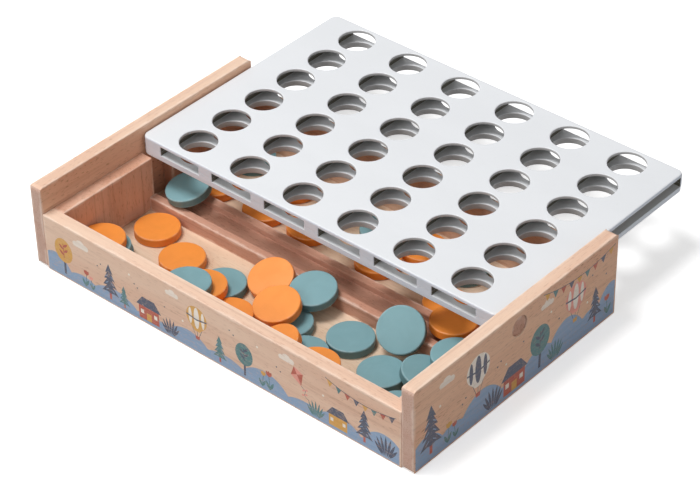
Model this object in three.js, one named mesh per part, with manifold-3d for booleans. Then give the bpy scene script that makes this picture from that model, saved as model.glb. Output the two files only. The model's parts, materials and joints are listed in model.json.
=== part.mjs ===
// A four in a row game in a wooden case, all sizes in millimetres, +Z up.
// The origin is on the underside of the case, in the middle of its width and depth.
// X runs along the front, Y from the front to the back. The board lies on the
// ledges of the case, slid to the back, and the discs lie loose in the tray.
import * as THREE from 'three';
import { mergeVertices } from 'three/addons/utils/BufferGeometryUtils.js';
import Module from 'manifold-3d';

const wasm = await Module();
wasm.setup();

// Clearances and cutting values
const touchGap = 0.3;
const cutOverrun = 2;
const halfTurn = Math.PI;
const quarterTurn = Math.PI / 2;

// Wooden case
const caseHeight = 60.5;
const sidePanelRise = 18.7;
const sidePanelThickness = 9;
const endPanelThickness = 9.5;
const innerWallThickness = 9.5;
const basePanelThickness = 3.5;
const panelCornerRadius = 4;
const panelCornerSteps = 6;

const ledgeHeight = caseHeight - sidePanelRise;

// Discs
const discDiameter = 30;
const discThickness = 6;
const discSides = 32;

// Board of two shells with a channel for each column of discs
const boardColumns = 6;
const boardRows = 6;
const columnPitch = 44.3;
const discEndPlay = 0.5;
const discSidePlay = 1.5;
const discHeightPlay = 1;
const topPlateThickness = 2.3;
const bottomPlateThickness = 4.3;
const windowLip = 2.6;
const windowSides = 24;
const boardFrontMargin = 18.2;
const boardSideMargin = 32.75;
const boardSideClearance = 1;
const closedBoardInset = 2.15;
const boardCornerRadius = 5;
const boardCornerSteps = 4;

const windowDiameter = discDiameter - 2 * windowLip;
const rowPitch = discDiameter + discEndPlay;
const channelWidth = discDiameter + 2 * discSidePlay;
const channelHeight = discThickness + discHeightPlay;
const boardThickness = bottomPlateThickness + channelHeight + topPlateThickness;
const boardRearMargin = discDiameter / 2 + discEndPlay;
const boardDepth = boardFrontMargin + (boardRows - 1) * rowPitch + boardRearMargin;
const boardWidth = (boardColumns - 1) * columnPitch + 2 * boardSideMargin;
const caseInnerWidth = boardWidth + 2 * boardSideClearance;
const caseWidth = caseInnerWidth + 2 * sidePanelThickness;
const caseDepth = boardDepth + 2 * closedBoardInset;

// Notch between the inner walls, in which the board stands upright
const notchSideClearance = 1.9;
const notchWidth = boardThickness + 2 * notchSideClearance;
const boardBottom = ledgeHeight + touchGap;
const boardFront = -(notchWidth / 2 - touchGap);

// Pivot pins in the side panels, and the grooves of the board that run on them
const pinHeadDiameter = 13;
const pinHeadLength = 4.7;
const pinRecess = 0.6;
const pinHeadClearance = 0.3;
const pinShankDiameter = 6.4;
const pinShankClearance = 0.3;
const pinEngagement = 4.5;
const pinSides = 24;
const grooveFloorGap = 1;
const grooveRearWall = 4.2;

const pinHeight = boardBottom + boardThickness / 2;
const counterboreDepth = pinRecess + pinHeadLength + touchGap;
const pinShankLength = touchGap + sidePanelThickness - counterboreDepth + boardSideClearance + pinEngagement;
const grooveHeight = pinShankDiameter + 2 * pinShankClearance;
const grooveDepth = pinEngagement + grooveFloorGap;
const grooveFront = -(pinShankDiameter / 2 + pinShankClearance);
const grooveRear = boardFront + boardDepth - grooveRearWall;

// Channel beam across the tray, in which the board stands upright
const beamChannelClearance = 0.4;
const beamChannelDepth = 4.2;
const beamLipWidth = 6.2;
const beamHeight = 9.9;

const trayFloor = basePanelThickness;
const beamTop = trayFloor + beamHeight;
const beamChannelWidth = boardThickness + 2 * beamChannelClearance;
const beamHalfDepth = beamChannelWidth / 2 + beamLipWidth;
const trayHalfWidth = caseInnerWidth / 2 - innerWallThickness;
const trayHalfDepth = caseDepth / 2 - endPanelThickness;
const discRadius = discDiameter / 2;
const reachX = trayHalfWidth - discRadius - touchGap;
const reachY = trayHalfDepth - discRadius - touchGap;

// Colours and surfaces
const beechColour = 0xe3bd98;
const beechShadeColour = 0xd6a987;
const plywoodColour = 0xe8c8a0;
const boardColour = 0xe0e5e8;
const orangeColour = 0xf99a45;
const tealColour = 0x7fabaf;
const woodRoughness = 0.62;
const plasticRoughness = 0.42;
const lacquerRoughness = 0.5;

function beech() {
  return new THREE.MeshStandardMaterial({ color: beechColour, roughness: woodRoughness, metalness: 0 });
}

function shadedBeech() {
  return new THREE.MeshStandardMaterial({ color: beechShadeColour, roughness: woodRoughness, metalness: 0 });
}

function plywood() {
  return new THREE.MeshStandardMaterial({ color: plywoodColour, roughness: woodRoughness, metalness: 0 });
}

function boardPlastic() {
  return new THREE.MeshStandardMaterial({ color: boardColour, roughness: plasticRoughness, metalness: 0 });
}

function lacquer(colour) {
  return new THREE.MeshStandardMaterial({ color: colour, roughness: lacquerRoughness, metalness: 0 });
}

// Solids and cuts
function toSolid(geometry) {
  const bare = geometry.index ? geometry.toNonIndexed() : geometry.clone();
  bare.deleteAttribute('normal');
  bare.deleteAttribute('uv');
  const merged = mergeVertices(bare);
  return new wasm.Manifold(new wasm.Mesh({
    numProp: 3,
    vertProperties: new Float32Array(merged.attributes.position.array),
    triVerts: new Uint32Array(merged.index.array),
  }));
}

function toGeometry(solid) {
  const mesh = solid.getMesh();
  const geometry = new THREE.BufferGeometry();
  geometry.setAttribute('position', new THREE.BufferAttribute(mesh.vertProperties, 3));
  geometry.setIndex(new THREE.BufferAttribute(mesh.triVerts, 1));
  geometry.computeVertexNormals();
  return geometry;
}

function cutAll(solid, cutters) {
  return cutters.reduce((rest, cutter) => rest.subtract(cutter), solid);
}

function boxBetween(low, high) {
  const size = new THREE.Vector3().subVectors(high, low);
  const middle = new THREE.Vector3().addVectors(low, high).multiplyScalar(1 / 2);
  return new THREE.BoxGeometry(size.x, size.y, size.z).translate(middle.x, middle.y, middle.z);
}

function boxSolid(low, high) {
  return toSolid(boxBetween(low, high));
}

// A rectangle with rounded corners, centred on the shape's own origin
function roundedOutline(width, height, radius, steps) {
  const points = [];
  const corners = [[1, 1], [-1, 1], [-1, -1], [1, -1]];
  corners.forEach(([right, up], index) => {
    const centreX = right * (width / 2 - radius);
    const centreY = up * (height / 2 - radius);
    for (let step = 0; step <= steps; step += 1) {
      const angle = index * quarterTurn + (step / steps) * quarterTurn;
      points.push(new THREE.Vector2(centreX + radius * Math.cos(angle), centreY + radius * Math.sin(angle)));
    }
  });
  return new THREE.Shape(points);
}

function extrude(shape, depth) {
  return new THREE.ExtrudeGeometry(shape, { depth, bevelEnabled: false, steps: 1 });
}

function piece(name, geometry, material, position = new THREE.Vector3()) {
  const mesh = new THREE.Mesh(geometry, material);
  mesh.name = name;
  mesh.position.copy(position);
  return mesh;
}

// Case panels
function basePanel() {
  const low = new THREE.Vector3(-caseInnerWidth / 2, -trayHalfDepth, 0);
  const high = new THREE.Vector3(caseInnerWidth / 2, trayHalfDepth, trayFloor);
  return piece('base_panel', boxBetween(low, high), plywood());
}

function endPanel(name, side) {
  const geometry = new THREE.BoxGeometry(caseInnerWidth, endPanelThickness, ledgeHeight);
  const middle = new THREE.Vector3(0, side * (caseDepth - endPanelThickness) / 2, ledgeHeight / 2);
  return piece(name, geometry, beech(), middle);
}

function innerWall(name, side, end) {
  const length = trayHalfDepth - notchWidth / 2;
  const height = ledgeHeight - trayFloor;
  const geometry = new THREE.BoxGeometry(innerWallThickness, length, height);
  const middle = new THREE.Vector3(
    side * (trayHalfWidth + innerWallThickness / 2),
    end * (notchWidth + length) / 2,
    trayFloor + height / 2,
  );
  return piece(name, geometry, shadedBeech(), middle);
}

function borePlug(diameter, from, to, side) {
  const plug = new THREE.CylinderGeometry(diameter / 2, diameter / 2, to - from, pinSides);
  plug.rotateZ(quarterTurn);
  plug.translate(side * (from + to) / 2, 0, pinHeight);
  return toSolid(plug);
}

function sidePanel(name, side) {
  const outline = roundedOutline(caseDepth, caseHeight, panelCornerRadius, panelCornerSteps);
  const blank = extrude(outline, sidePanelThickness);
  blank.rotateX(quarterTurn);
  blank.rotateZ(quarterTurn);
  blank.translate(side > 0 ? caseInnerWidth / 2 : -caseWidth / 2, 0, caseHeight / 2);
  const outer = caseWidth / 2;
  const inner = caseInnerWidth / 2;
  const panel = cutAll(toSolid(blank), [
    borePlug(pinHeadDiameter + 2 * pinHeadClearance, outer - counterboreDepth, outer + cutOverrun, side),
    borePlug(grooveHeight, inner - cutOverrun, outer, side),
  ]);
  return piece(name, toGeometry(panel), beech());
}

// Channel beam: two lips with the channel between them
function channelBeam() {
  const blankLow = new THREE.Vector3(-trayHalfWidth, -beamHalfDepth, trayFloor);
  const blankHigh = new THREE.Vector3(trayHalfWidth, beamHalfDepth, beamTop);
  const cutLow = new THREE.Vector3(
    -trayHalfWidth - cutOverrun, -beamChannelWidth / 2, beamTop - beamChannelDepth,
  );
  const cutHigh = new THREE.Vector3(
    trayHalfWidth + cutOverrun, beamChannelWidth / 2, beamTop + cutOverrun,
  );
  const beam = boxSolid(blankLow, blankHigh).subtract(boxSolid(cutLow, cutHigh));
  return piece('channel_beam', toGeometry(beam), shadedBeech());
}

// Pivot pin: a head in the panel's counterbore and a shank that ends in the board's groove
function pivotPin(name, side) {
  const headRadius = pinHeadDiameter / 2;
  const shankRadius = pinShankDiameter / 2;
  const length = pinHeadLength + pinShankLength;
  const profile = [
    new THREE.Vector2(0, 0),
    new THREE.Vector2(shankRadius, 0),
    new THREE.Vector2(shankRadius, pinShankLength),
    new THREE.Vector2(headRadius, pinShankLength),
    new THREE.Vector2(headRadius, length),
    new THREE.Vector2(0, length),
  ];
  const geometry = new THREE.LatheGeometry(profile, pinSides);
  const mesh = piece(name, toGeometry(toSolid(geometry)), beech());
  const tip = caseWidth / 2 - pinRecess - length;
  mesh.rotation.z = -side * quarterTurn;
  mesh.position.set(side * tip, 0, pinHeight);
  return mesh;
}

// Board shells, meeting at the middle of the board's thickness
function boardBlank(height) {
  const outline = roundedOutline(boardWidth, boardDepth, boardCornerRadius, boardCornerSteps);
  return toSolid(extrude(outline, height));
}

function boardShell(name, up) {
  const half = boardThickness / 2;
  const deep = up ? -cutOverrun : bottomPlateThickness;
  const shallow = up ? half - topPlateThickness : half + cutOverrun;
  const cutters = [];
  for (let column = 0; column < boardColumns; column += 1) {
    const x = (column - (boardColumns - 1) / 2) * columnPitch;
    cutters.push(boxSolid(
      new THREE.Vector3(x - channelWidth / 2, -boardDepth / 2 - cutOverrun, deep),
      new THREE.Vector3(x + channelWidth / 2, boardDepth / 2 + cutOverrun, shallow),
    ));
    for (let row = 0; row < boardRows; row += 1) {
      const y = boardFrontMargin + row * rowPitch - boardDepth / 2;
      const radius = windowDiameter / 2;
      const plug = new THREE.CylinderGeometry(radius, radius, boardThickness, windowSides);
      plug.rotateX(quarterTurn);
      plug.translate(x, y, half / 2);
      cutters.push(toSolid(plug));
    }
  }
  const grooveMiddle = up ? 0 : half;
  [-1, 1].forEach((side) => {
    const inner = side * (boardWidth / 2 - grooveDepth);
    const outer = side * (boardWidth / 2 + cutOverrun);
    cutters.push(boxSolid(
      new THREE.Vector3(
        Math.min(inner, outer), grooveFront - boardFront - boardDepth / 2, grooveMiddle - grooveHeight / 2,
      ),
      new THREE.Vector3(
        Math.max(inner, outer), grooveRear - boardFront - boardDepth / 2, grooveMiddle + grooveHeight / 2,
      ),
    ));
  });
  const shell = cutAll(boardBlank(half), cutters);
  const place = new THREE.Vector3(0, boardFront + boardDepth / 2, boardBottom + (up ? half : 0));
  return piece(name, toGeometry(shell), boardPlastic(), place);
}

// Loose discs. A place holds the middle of the disc's underside and its turn.
const ringShares = [0, 0.3, 0.6, 0.8, 0.92, 1];
const ringSteps = 48;
const settleRounds = 400;
const firstSlopeStep = 0.4;
const lastSlopeStep = 0.0005;
const lipStrideShare = 0.05;
const lipStrides = 20;

function topFacePoints(place) {
  const points = [];
  ringShares.forEach((share) => {
    for (let step = 0; step < ringSteps; step += 1) {
      const angle = (step / ringSteps) * 2 * halfTurn;
      const point = new THREE.Vector3(
        share * discRadius * Math.cos(angle), share * discRadius * Math.sin(angle), discThickness,
      );
      points.push(point.applyQuaternion(place.turn).add(place.middle));
    }
  });
  return points;
}

function lipPoints(x) {
  const points = [];
  [-1, 1].forEach((side) => {
    ringShares.forEach((share) => {
      const y = side * (beamChannelWidth / 2 + share * beamLipWidth);
      for (let stride = -lipStrides; stride <= lipStrides; stride += 1) {
        points.push(new THREE.Vector3(x + stride * lipStrideShare * discRadius, y, beamTop));
      }
    });
  });
  return points;
}

function flatPlace(x, y, z) {
  return { middle: new THREE.Vector3(x, y, z), turn: new THREE.Quaternion() };
}

// The height at which a disc of a given slope clears the floor and the points under it
function clearHeight(x, y, slope, points) {
  const steepness = Math.hypot(slope.x, slope.y);
  const stretch = Math.hypot(1, steepness);
  const reach = discRadius + 2 * touchGap;
  let height = trayFloor + touchGap + discRadius * (steepness / stretch);
  points.forEach((point) => {
    const right = point.x - x;
    const back = point.y - y;
    const rise = right * slope.x + back * slope.y;
    if (Math.hypot(right, back, rise) < reach) {
      height = Math.max(height, point.z + touchGap * stretch - rise);
    }
  });
  return height;
}

// A disc let down at a given place, on a given slope or else on the one on which it lies lowest
function settledPlace(x, y, givenSlope, points) {
  const near = points.filter((point) => Math.hypot(point.x - x, point.y - y) < discDiameter);
  const slope = new THREE.Vector2(...givenSlope);
  let height = clearHeight(x, y, slope, near);
  let step = givenSlope.length > 0 ? 0 : firstSlopeStep;
  while (step > lastSlopeStep) {
    let better = false;
    for (let turn = 0; turn < ringSteps; turn += 1) {
      const angle = (turn / ringSteps) * 2 * halfTurn;
      const trial = new THREE.Vector2(slope.x + step * Math.cos(angle), slope.y + step * Math.sin(angle));
      const trialHeight = clearHeight(x, y, trial, near);
      if (trialHeight < height) {
        height = trialHeight;
        slope.copy(trial);
        better = true;
      }
    }
    step = better ? step : step / 2;
  }
  const normal = new THREE.Vector3(-slope.x, -slope.y, 1).normalize();
  const upright = new THREE.Vector3(0, 0, 1);
  return {
    middle: new THREE.Vector3(x, y, height),
    turn: new THREE.Quaternion().setFromUnitVectors(upright, normal),
  };
}

// Where the discs lie, in shares of half the tray's width and depth. Those of the first
// list lie flat on the floor and are pushed apart where they would overlap. Those of the
// second list are let down on the beam or on the discs before them, and some of them
// have their slopes to the right and to the back given too.
const floorDiscShares = {
  orange_01: [-0.84, -0.335],
  teal_01: [-0.885, -0.76],
  orange_02: [-0.589, -0.479],
  teal_02: [-0.311, -0.512],
  orange_03: [-0.139, -0.73],
  teal_03: [0.111, -0.536],
  teal_04: [0.296, -0.709],
  teal_05: [0.39, -0.385],
  teal_06: [0.65, -0.533],
  teal_18: [0.855, -0.75],
  orange_11: [-0.867, 0.356],
  orange_12: [-0.554, 0.352],
  orange_13: [-0.295, 0.394],
  orange_14: [0.117, 0.411],
  orange_15: [0.56, 0.34],
  teal_13: [-0.88, 0.78],
  orange_16: [-0.57, 0.72],
  teal_14: [-0.3, 0.76],
  teal_15: [-0.02, 0.72],
  orange_17: [0.22, 0.74],
  teal_16: [0.46, 0.75],
  orange_18: [0.86, 0.48],
};
const settledDiscShares = {
  orange_04: [-0.136, -0.281],
  teal_07: [0.09, -0.236, -0.02, 0.17],
  teal_08: [0.587, -0.196, -0.45, 0.92],
  teal_17: [-0.875, -0.79],
  orange_05: [-0.887, -0.818],
  orange_06: [-0.33, -0.68],
  teal_10: [-0.355, -0.797],
  orange_07: [0.047, -0.54, 0, 0.24],
  orange_08: [0.209, -0.81, 0.26, 0.31],
  orange_09: [0.4289, -0.821, 0, 0],
  teal_11: [0.812, -0.39],
  teal_09: [0.877, -0.172],
  orange_10: [0.722, 0.108],
  teal_12: [-0.85, 0.036, 0.13, 0.21],
};

function within(value, limit) {
  return Math.min(Math.max(value, -limit), limit);
}

function floorPlaces() {
  const nearest = beamHalfDepth + discRadius + touchGap;
  const spots = Object.entries(floorDiscShares).map(([name, [across, back]]) => ({
    name,
    side: Math.sign(back),
    x: across * trayHalfWidth,
    y: Math.abs(back) * trayHalfDepth,
  }));
  for (let round = 0; round < settleRounds; round += 1) {
    spots.forEach((spot, index) => {
      spots.slice(index + 1).filter((other) => other.side === spot.side).forEach((other) => {
        const apart = new THREE.Vector2(other.x - spot.x, other.y - spot.y);
        const shortfall = discDiameter + touchGap - apart.length();
        if (shortfall > 0) {
          apart.setLength(shortfall / 2);
          spot.x -= apart.x;
          spot.y -= apart.y;
          other.x += apart.x;
          other.y += apart.y;
        }
      });
    });
    spots.forEach((spot) => {
      spot.x = within(spot.x, reachX);
      spot.y = Math.max(within(spot.y, reachY), nearest);
    });
  }
  return Object.fromEntries(spots.map((spot) => (
    [spot.name, flatPlace(spot.x, spot.side * spot.y, trayFloor)]
  )));
}

function discMesh(name, place) {
  const geometry = new THREE.CylinderGeometry(discRadius, discRadius, discThickness, discSides);
  geometry.rotateX(quarterTurn);
  geometry.translate(0, 0, discThickness / 2);
  const mesh = piece(name, geometry, lacquer(name.startsWith('orange') ? orangeColour : tealColour));
  mesh.quaternion.copy(place.turn);
  mesh.position.copy(place.middle);
  return mesh;
}

function looseDiscs() {
  const places = floorPlaces();
  Object.entries(settledDiscShares).forEach(([name, [across, back, ...slope]]) => {
    const x = within(across * trayHalfWidth, reachX);
    const y = within(back * trayHalfDepth, reachY);
    const points = Object.values(places).flatMap(topFacePoints).concat(lipPoints(x));
    places[name] = settledPlace(x, y, slope, points);
  });
  return Object.entries(places).map(([name, place]) => discMesh(name, place));
}

// The whole game
const game = new THREE.Group();
game.add(
  basePanel(),
  endPanel('front_panel', -1),
  endPanel('back_panel', 1),
  sidePanel('side_panel_left', -1),
  sidePanel('side_panel_right', 1),
  innerWall('inner_wall_front_left', -1, -1),
  innerWall('inner_wall_front_right', 1, -1),
  innerWall('inner_wall_rear_left', -1, 1),
  innerWall('inner_wall_rear_right', 1, 1),
  channelBeam(),
  pivotPin('pivot_pin_left', -1),
  pivotPin('pivot_pin_right', 1),
  boardShell('board_bottom_shell', false),
  boardShell('board_top_shell', true),
  ...looseDiscs(),
);

export default game;
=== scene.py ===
import json
import math

import bmesh
import bpy
import numpy as np
from bpy.props import FloatProperty, FloatVectorProperty, IntProperty, PointerProperty
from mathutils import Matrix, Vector
from mathutils.geometry import delaunay_2d_cdt


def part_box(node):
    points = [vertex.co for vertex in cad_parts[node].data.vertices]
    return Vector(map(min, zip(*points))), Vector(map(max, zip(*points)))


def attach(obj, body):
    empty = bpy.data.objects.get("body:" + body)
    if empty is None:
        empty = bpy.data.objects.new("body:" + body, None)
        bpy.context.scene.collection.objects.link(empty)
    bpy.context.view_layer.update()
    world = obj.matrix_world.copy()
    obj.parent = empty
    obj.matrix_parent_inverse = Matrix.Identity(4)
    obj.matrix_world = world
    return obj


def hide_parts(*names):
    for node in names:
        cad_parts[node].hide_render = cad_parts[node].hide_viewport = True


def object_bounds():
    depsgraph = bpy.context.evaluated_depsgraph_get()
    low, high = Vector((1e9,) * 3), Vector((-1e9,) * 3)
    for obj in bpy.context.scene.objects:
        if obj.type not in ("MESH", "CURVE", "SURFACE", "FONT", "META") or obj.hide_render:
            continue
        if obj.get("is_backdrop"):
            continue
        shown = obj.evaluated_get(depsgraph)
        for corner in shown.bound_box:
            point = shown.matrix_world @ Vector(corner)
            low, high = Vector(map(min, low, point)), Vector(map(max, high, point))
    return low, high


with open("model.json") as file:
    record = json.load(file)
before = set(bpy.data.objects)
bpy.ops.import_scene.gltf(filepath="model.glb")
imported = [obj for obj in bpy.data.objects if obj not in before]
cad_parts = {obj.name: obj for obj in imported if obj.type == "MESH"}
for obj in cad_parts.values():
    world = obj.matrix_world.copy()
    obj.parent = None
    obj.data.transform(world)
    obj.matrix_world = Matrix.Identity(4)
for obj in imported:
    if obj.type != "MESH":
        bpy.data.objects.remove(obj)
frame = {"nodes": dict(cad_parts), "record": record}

bl_info = {
    "name": "Four in a row game",
    "version": (1, 0, 0),
    "blender": (4, 5, 0),
    "location": "3D View > Sidebar > Four in a row",
    "description": "Makes a four in a row game: a beech case, its sliding board and the loose discs",
    "category": "Object",
}

CAD_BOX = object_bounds()
NODES = sorted(frame["nodes"])
BODY_OF = {
    node: body
    for body, nodes in frame["record"]["behaviour"]["bodies"].items()
    for node in nodes
}
MM = 0.001
WELD = 0.002 * MM
# A point nearer than this to a flat face lies on it.
NEAR = 0.01 * MM
CDT_SLACK = 1e-6


# Settings


def linear(red, green, blue):
    """A colour written as it looks on a screen, in parts of 255, as Blender's shaders take it."""
    shares = [part / 255 for part in (red, green, blue)]
    return tuple(s / 12.92 if s <= 0.04045 else ((s + 0.055) / 1.055) ** 2.4 for s in shares)


def colour_property(name, description, screen):
    return FloatVectorProperty(
        name=name, description=description, subtype="COLOR", size=3, min=0, max=1,
        default=linear(*screen),
    )


def number_property(name, description, default, **more):
    return FloatProperty(name=name, description=description, default=default, min=0, **more)


def length_property(name, description, metres):
    return number_property(name, description, metres, precision=5, subtype="DISTANCE", unit="LENGTH")


def count_property(name, description, default, least, most):
    return IntProperty(name=name, description=description, default=default, min=least, max=most)


class CaseSettings(bpy.types.PropertyGroup):
    """Sizes and colours of the beech case"""

    arris: length_property("Arris", "Rounding of the sanded edges of the panels", 0.0007)
    panel_corner: length_property("Panel corner", "Rounding of the side panels' four corners", 0.0035)
    inner_arris: length_property("Inner arris", "Rounding of the inner walls' and the beam's edges", 0.0007)
    pin_chamfer: length_property("Pin chamfer", "Rounding of the end of a pivot pin", 0.0008)
    beech_pale: colour_property("Pale beech", "Early wood of the panels", (236, 204, 180))
    beech_warm: colour_property("Warm beech", "Bands of the panels", (226, 186, 161))
    beech_deep: colour_property("Deep beech", "Late wood and flecks of the panels", (158, 104, 76))
    inner_pale: colour_property("Pale inner wood", "Early wood of the walls and beam", (226, 182, 156))
    inner_warm: colour_property("Warm inner wood", "Bands of the walls and beam", (212, 160, 132))
    inner_deep: colour_property("Deep inner wood", "Late wood of the walls and beam", (150, 98, 72))
    floor_pale: colour_property("Pale floor", "Face veneer of the plywood floor", (233, 207, 182))
    floor_warm: colour_property("Warm floor", "Bands of the plywood floor", (222, 190, 161))
    floor_deep: colour_property("Deep floor", "Late wood of the plywood floor", (186, 144, 108))


class PrintSettings(bpy.types.PropertyGroup):
    """Inks of the printed scenes on the outside of the case"""

    hill: colour_property("Hill ink", "Blue of the hills", (134, 163, 194))
    slate: colour_property("Slate ink", "Dark blue of trees and grass", (44, 66, 92))
    teal: colour_property("Teal ink", "Green blue of trees and flags", (62, 118, 122))
    mustard: colour_property("Mustard ink", "Yellow of trees and balloons", (214, 160, 74))
    brick: colour_property("Brick ink", "Red of houses and tulips", (178, 80, 62))
    blush: colour_property("Blush ink", "Pink of kites and balloons", (232, 152, 138))
    cream: colour_property("Cream ink", "White of clouds and stripes", (246, 236, 224))


class BoardSettings(bpy.types.PropertyGroup):
    """Sizes and colour of the board's two shells"""

    plate_arris: length_property("Plate arris", "Rounding of the outer edge of a plate", 0.0011)
    window_arris: length_property("Window arris", "Rounding of a window's edge on the outside", 0.0007)
    inner_arris: length_property("Inner arris", "Rounding of a window's edge in the channel", 0.0006)
    rib_arris: length_property("Rib arris", "Rounding of the ribs' edges at the seam", 0.00025)
    window_sides: count_property("Window sides", "Faces round one window", 56, 12, 128)
    moulding: colour_property("Moulding", "Colour of the moulded plastic", (226, 228, 231))


class DiscSettings(bpy.types.PropertyGroup):
    """Sizes and colours of the discs"""

    arris: length_property("Arris", "Rounding of a disc's two edges", 0.0009)
    sides: count_property("Sides", "Faces round one disc", 72, 16, 160)
    orange: colour_property("Orange", "Colour of the first player's discs", (244, 148, 61))
    teal: colour_property("Teal", "Colour of the second player's discs", (124, 164, 171))


class StageSettings(bpy.types.PropertyGroup):
    """Floor, light and camera"""

    floor: colour_property("Floor", "Colour of the floor under the case", (240, 240, 240))
    floor_glow: number_property("Floor glow", "Light that the floor adds where the camera sees it", 0.5)
    floor_bounce: number_property(
        "Floor bounce", "Share of its light that the floor throws back on the case", 0.45, max=1,
    )
    key_power: number_property(
        "Key light", "Power of the large lamp above and to the left", 39.5, unit="POWER",
    )
    front_power: number_property("Front light", "Power of the soft lamp before the case", 18, unit="POWER")
    fill_power: number_property("Fill light", "Power of the lamp on the right", 4.5, unit="POWER")
    sky: number_property("Sky", "Strength of the even light from all round", 0.25)
    lens: FloatProperty(
        name="Lens", description="Focal length of the camera in millimetres", default=128.8648, min=10,
    )


SETTINGS = {
    "game_case": CaseSettings,
    "game_print": PrintSettings,
    "game_board": BoardSettings,
    "game_discs": DiscSettings,
    "game_stage": StageSettings,
}


# Node trees


class Network:
    """A node tree while its nodes are laid."""

    def __init__(self, tree):
        self.tree = tree
        tree.nodes.clear()

    def node(self, kind, inputs=None, **settings):
        """Lays a node. An input that is a socket is linked, and any other is set."""
        node = self.tree.nodes.new(kind)
        for key, value in settings.items():
            setattr(node, key, value)
        for key, value in (inputs or {}).items():
            if isinstance(value, bpy.types.NodeSocket):
                self.tree.links.new(value, node.inputs[key])
            else:
                node.inputs[key].default_value = value
        return node

    def lay(self, kind, inputs=None, **settings):
        """Lays a node and gives its first output."""
        return self.node(kind, inputs, **settings).outputs[0]

    def math(self, operation, first, second=0.0):
        return self.lay("ShaderNodeMath", {0: first, 1: second}, operation=operation)

    def product(self, first, second):
        return self.math("MULTIPLY", first, second)

    def seen(self):
        """1 where the camera looks, also in a gloss or through something clear."""
        path = self.node("ShaderNodeLightPath").outputs
        also = self.math("MAXIMUM", path["Is Glossy Ray"], path["Is Transmission Ray"])
        return self.math("MAXIMUM", path["Is Camera Ray"], also)


class Finish(Network):
    """A material while its nodes are laid. Its patterns read the piece's own coordinates."""

    def __init__(self, name):
        self.material = bpy.data.materials.new(name)
        self.material.use_nodes = True
        super().__init__(self.material.node_tree)
        self.place = self.node("ShaderNodeTexCoord").outputs["Object"]

    def attribute(self, name, output="Fac"):
        return self.node("ShaderNodeAttribute", attribute_name=name).outputs[output]

    def vector(self, operation, first, second):
        return self.lay("ShaderNodeVectorMath", {0: first, 1: second}, operation=operation)

    def reach(self, value, low, high, to_low=0.0, to_high=1.0):
        """Brings value from low…high to to_low…to_high, softly and no further."""
        ends = {"From Min": low, "From Max": high, "To Min": to_low, "To Max": to_high}
        return self.lay("ShaderNodeMapRange", {"Value": value, **ends}, interpolation_type="SMOOTHSTEP")

    def noise(self, repeats, detail, rough, warp=0.0, place=None):
        """Noise with its repeats per metre: one number, or one for each axis."""
        if not isinstance(repeats, tuple):
            repeats = (repeats, repeats, repeats)
        spread = self.vector("MULTIPLY", place or self.place, repeats)
        return self.lay("ShaderNodeTexNoise", {
            "Vector": spread, "Scale": 1.0, "Detail": detail, "Roughness": rough, "Distortion": warp,
        })

    def blend(self, share, first, second, kind="MIX"):
        first, second = (
            colour if isinstance(colour, bpy.types.NodeSocket) else (*colour, 1.0)
            for colour in (first, second)
        )
        inputs = {0: share, 6: first, 7: second}
        mix = self.node("ShaderNodeMix", inputs, data_type="RGBA", blend_type=kind, clamp_result=True)
        return mix.outputs[2]

    def shade(self, colour, shade):
        """Multiplies two colours."""
        return self.blend(1.0, colour, shade, "MULTIPLY")

    def brighten(self, colour, share):
        """Multiplies a colour by a number."""
        return self.lay("ShaderNodeVectorMath", {0: colour, "Scale": share}, operation="SCALE")

    def close(self, surface):
        self.node("ShaderNodeOutputMaterial", {0: surface})
        return self.material

    def close_gloss(self, colour, roughness, height, depth, strength, specular):
        bump = self.lay("ShaderNodeBump", {"Height": height, "Distance": depth, "Strength": strength})
        return self.close(self.lay("ShaderNodeBsdfPrincipled", {
            "Base Color": colour, "Roughness": roughness, "Normal": bump, "Specular IOR Level": specular,
        }))


class Recipe(Network):
    """A geometry node tree while its nodes are laid. Its inputs are given by name, each with its
    kind and its default."""

    def __init__(self, name, inputs):
        super().__init__(bpy.data.node_groups.new(name, "GeometryNodeTree"))
        sides = self.tree.interface
        for label, (kind, default) in inputs.items():
            socket = sides.new_socket(label, in_out="INPUT", socket_type="NodeSocket" + kind)
            if default is not None:
                socket.default_value = default
        sides.new_socket("Geometry", in_out="OUTPUT", socket_type="NodeSocketGeometry")
        self.given = self.node("NodeGroupInput").outputs

    def point(self, x, y):
        return self.lay("ShaderNodeCombineXYZ", {0: x, 1: y})

    def turned(self, corners, sides, path_radius, radius):
        """Turns an open row of four corners about Z. They are given as out and up, and the inner
        two are rounded."""
        box = self.node("GeometryNodeCurvePrimitiveQuadrilateral", mode="POINTS")
        for index, (out, up) in enumerate(corners):
            corner = self.point(out, self.product(up, -1.0))
            self.tree.links.new(corner, box.inputs[f"Point {index + 1}"])
        opened = self.lay("GeometryNodeSetSplineCyclic", {"Geometry": box.outputs[0], "Cyclic": False})
        rounding = {"Curve": opened, "Count": 3, "Radius": radius, "Limit Radius": True}
        profile = self.lay("GeometryNodeFilletCurve", rounding, mode="POLY")
        path = {"Resolution": sides, "Radius": path_radius}
        circle = self.lay("GeometryNodeCurvePrimitiveCircle", path, mode="RADIUS")
        return self.lay("GeometryNodeCurveToMesh", {"Curve": circle, "Profile Curve": profile})

    def welded(self, geometry, distance):
        return self.lay("GeometryNodeMergeByDistance", {"Geometry": geometry, "Distance": distance})

    def moved(self, geometry, **place):
        return self.lay("GeometryNodeTransform", {"Geometry": geometry, **place})

    def real(self, geometry):
        return self.lay("GeometryNodeRealizeInstances", {"Geometry": geometry})

    def finish(self, geometry, material):
        made = self.lay("GeometryNodeSetMaterial", {"Geometry": geometry, "Material": material})
        self.node("NodeGroupOutput", {0: made})
        return self.tree


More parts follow.
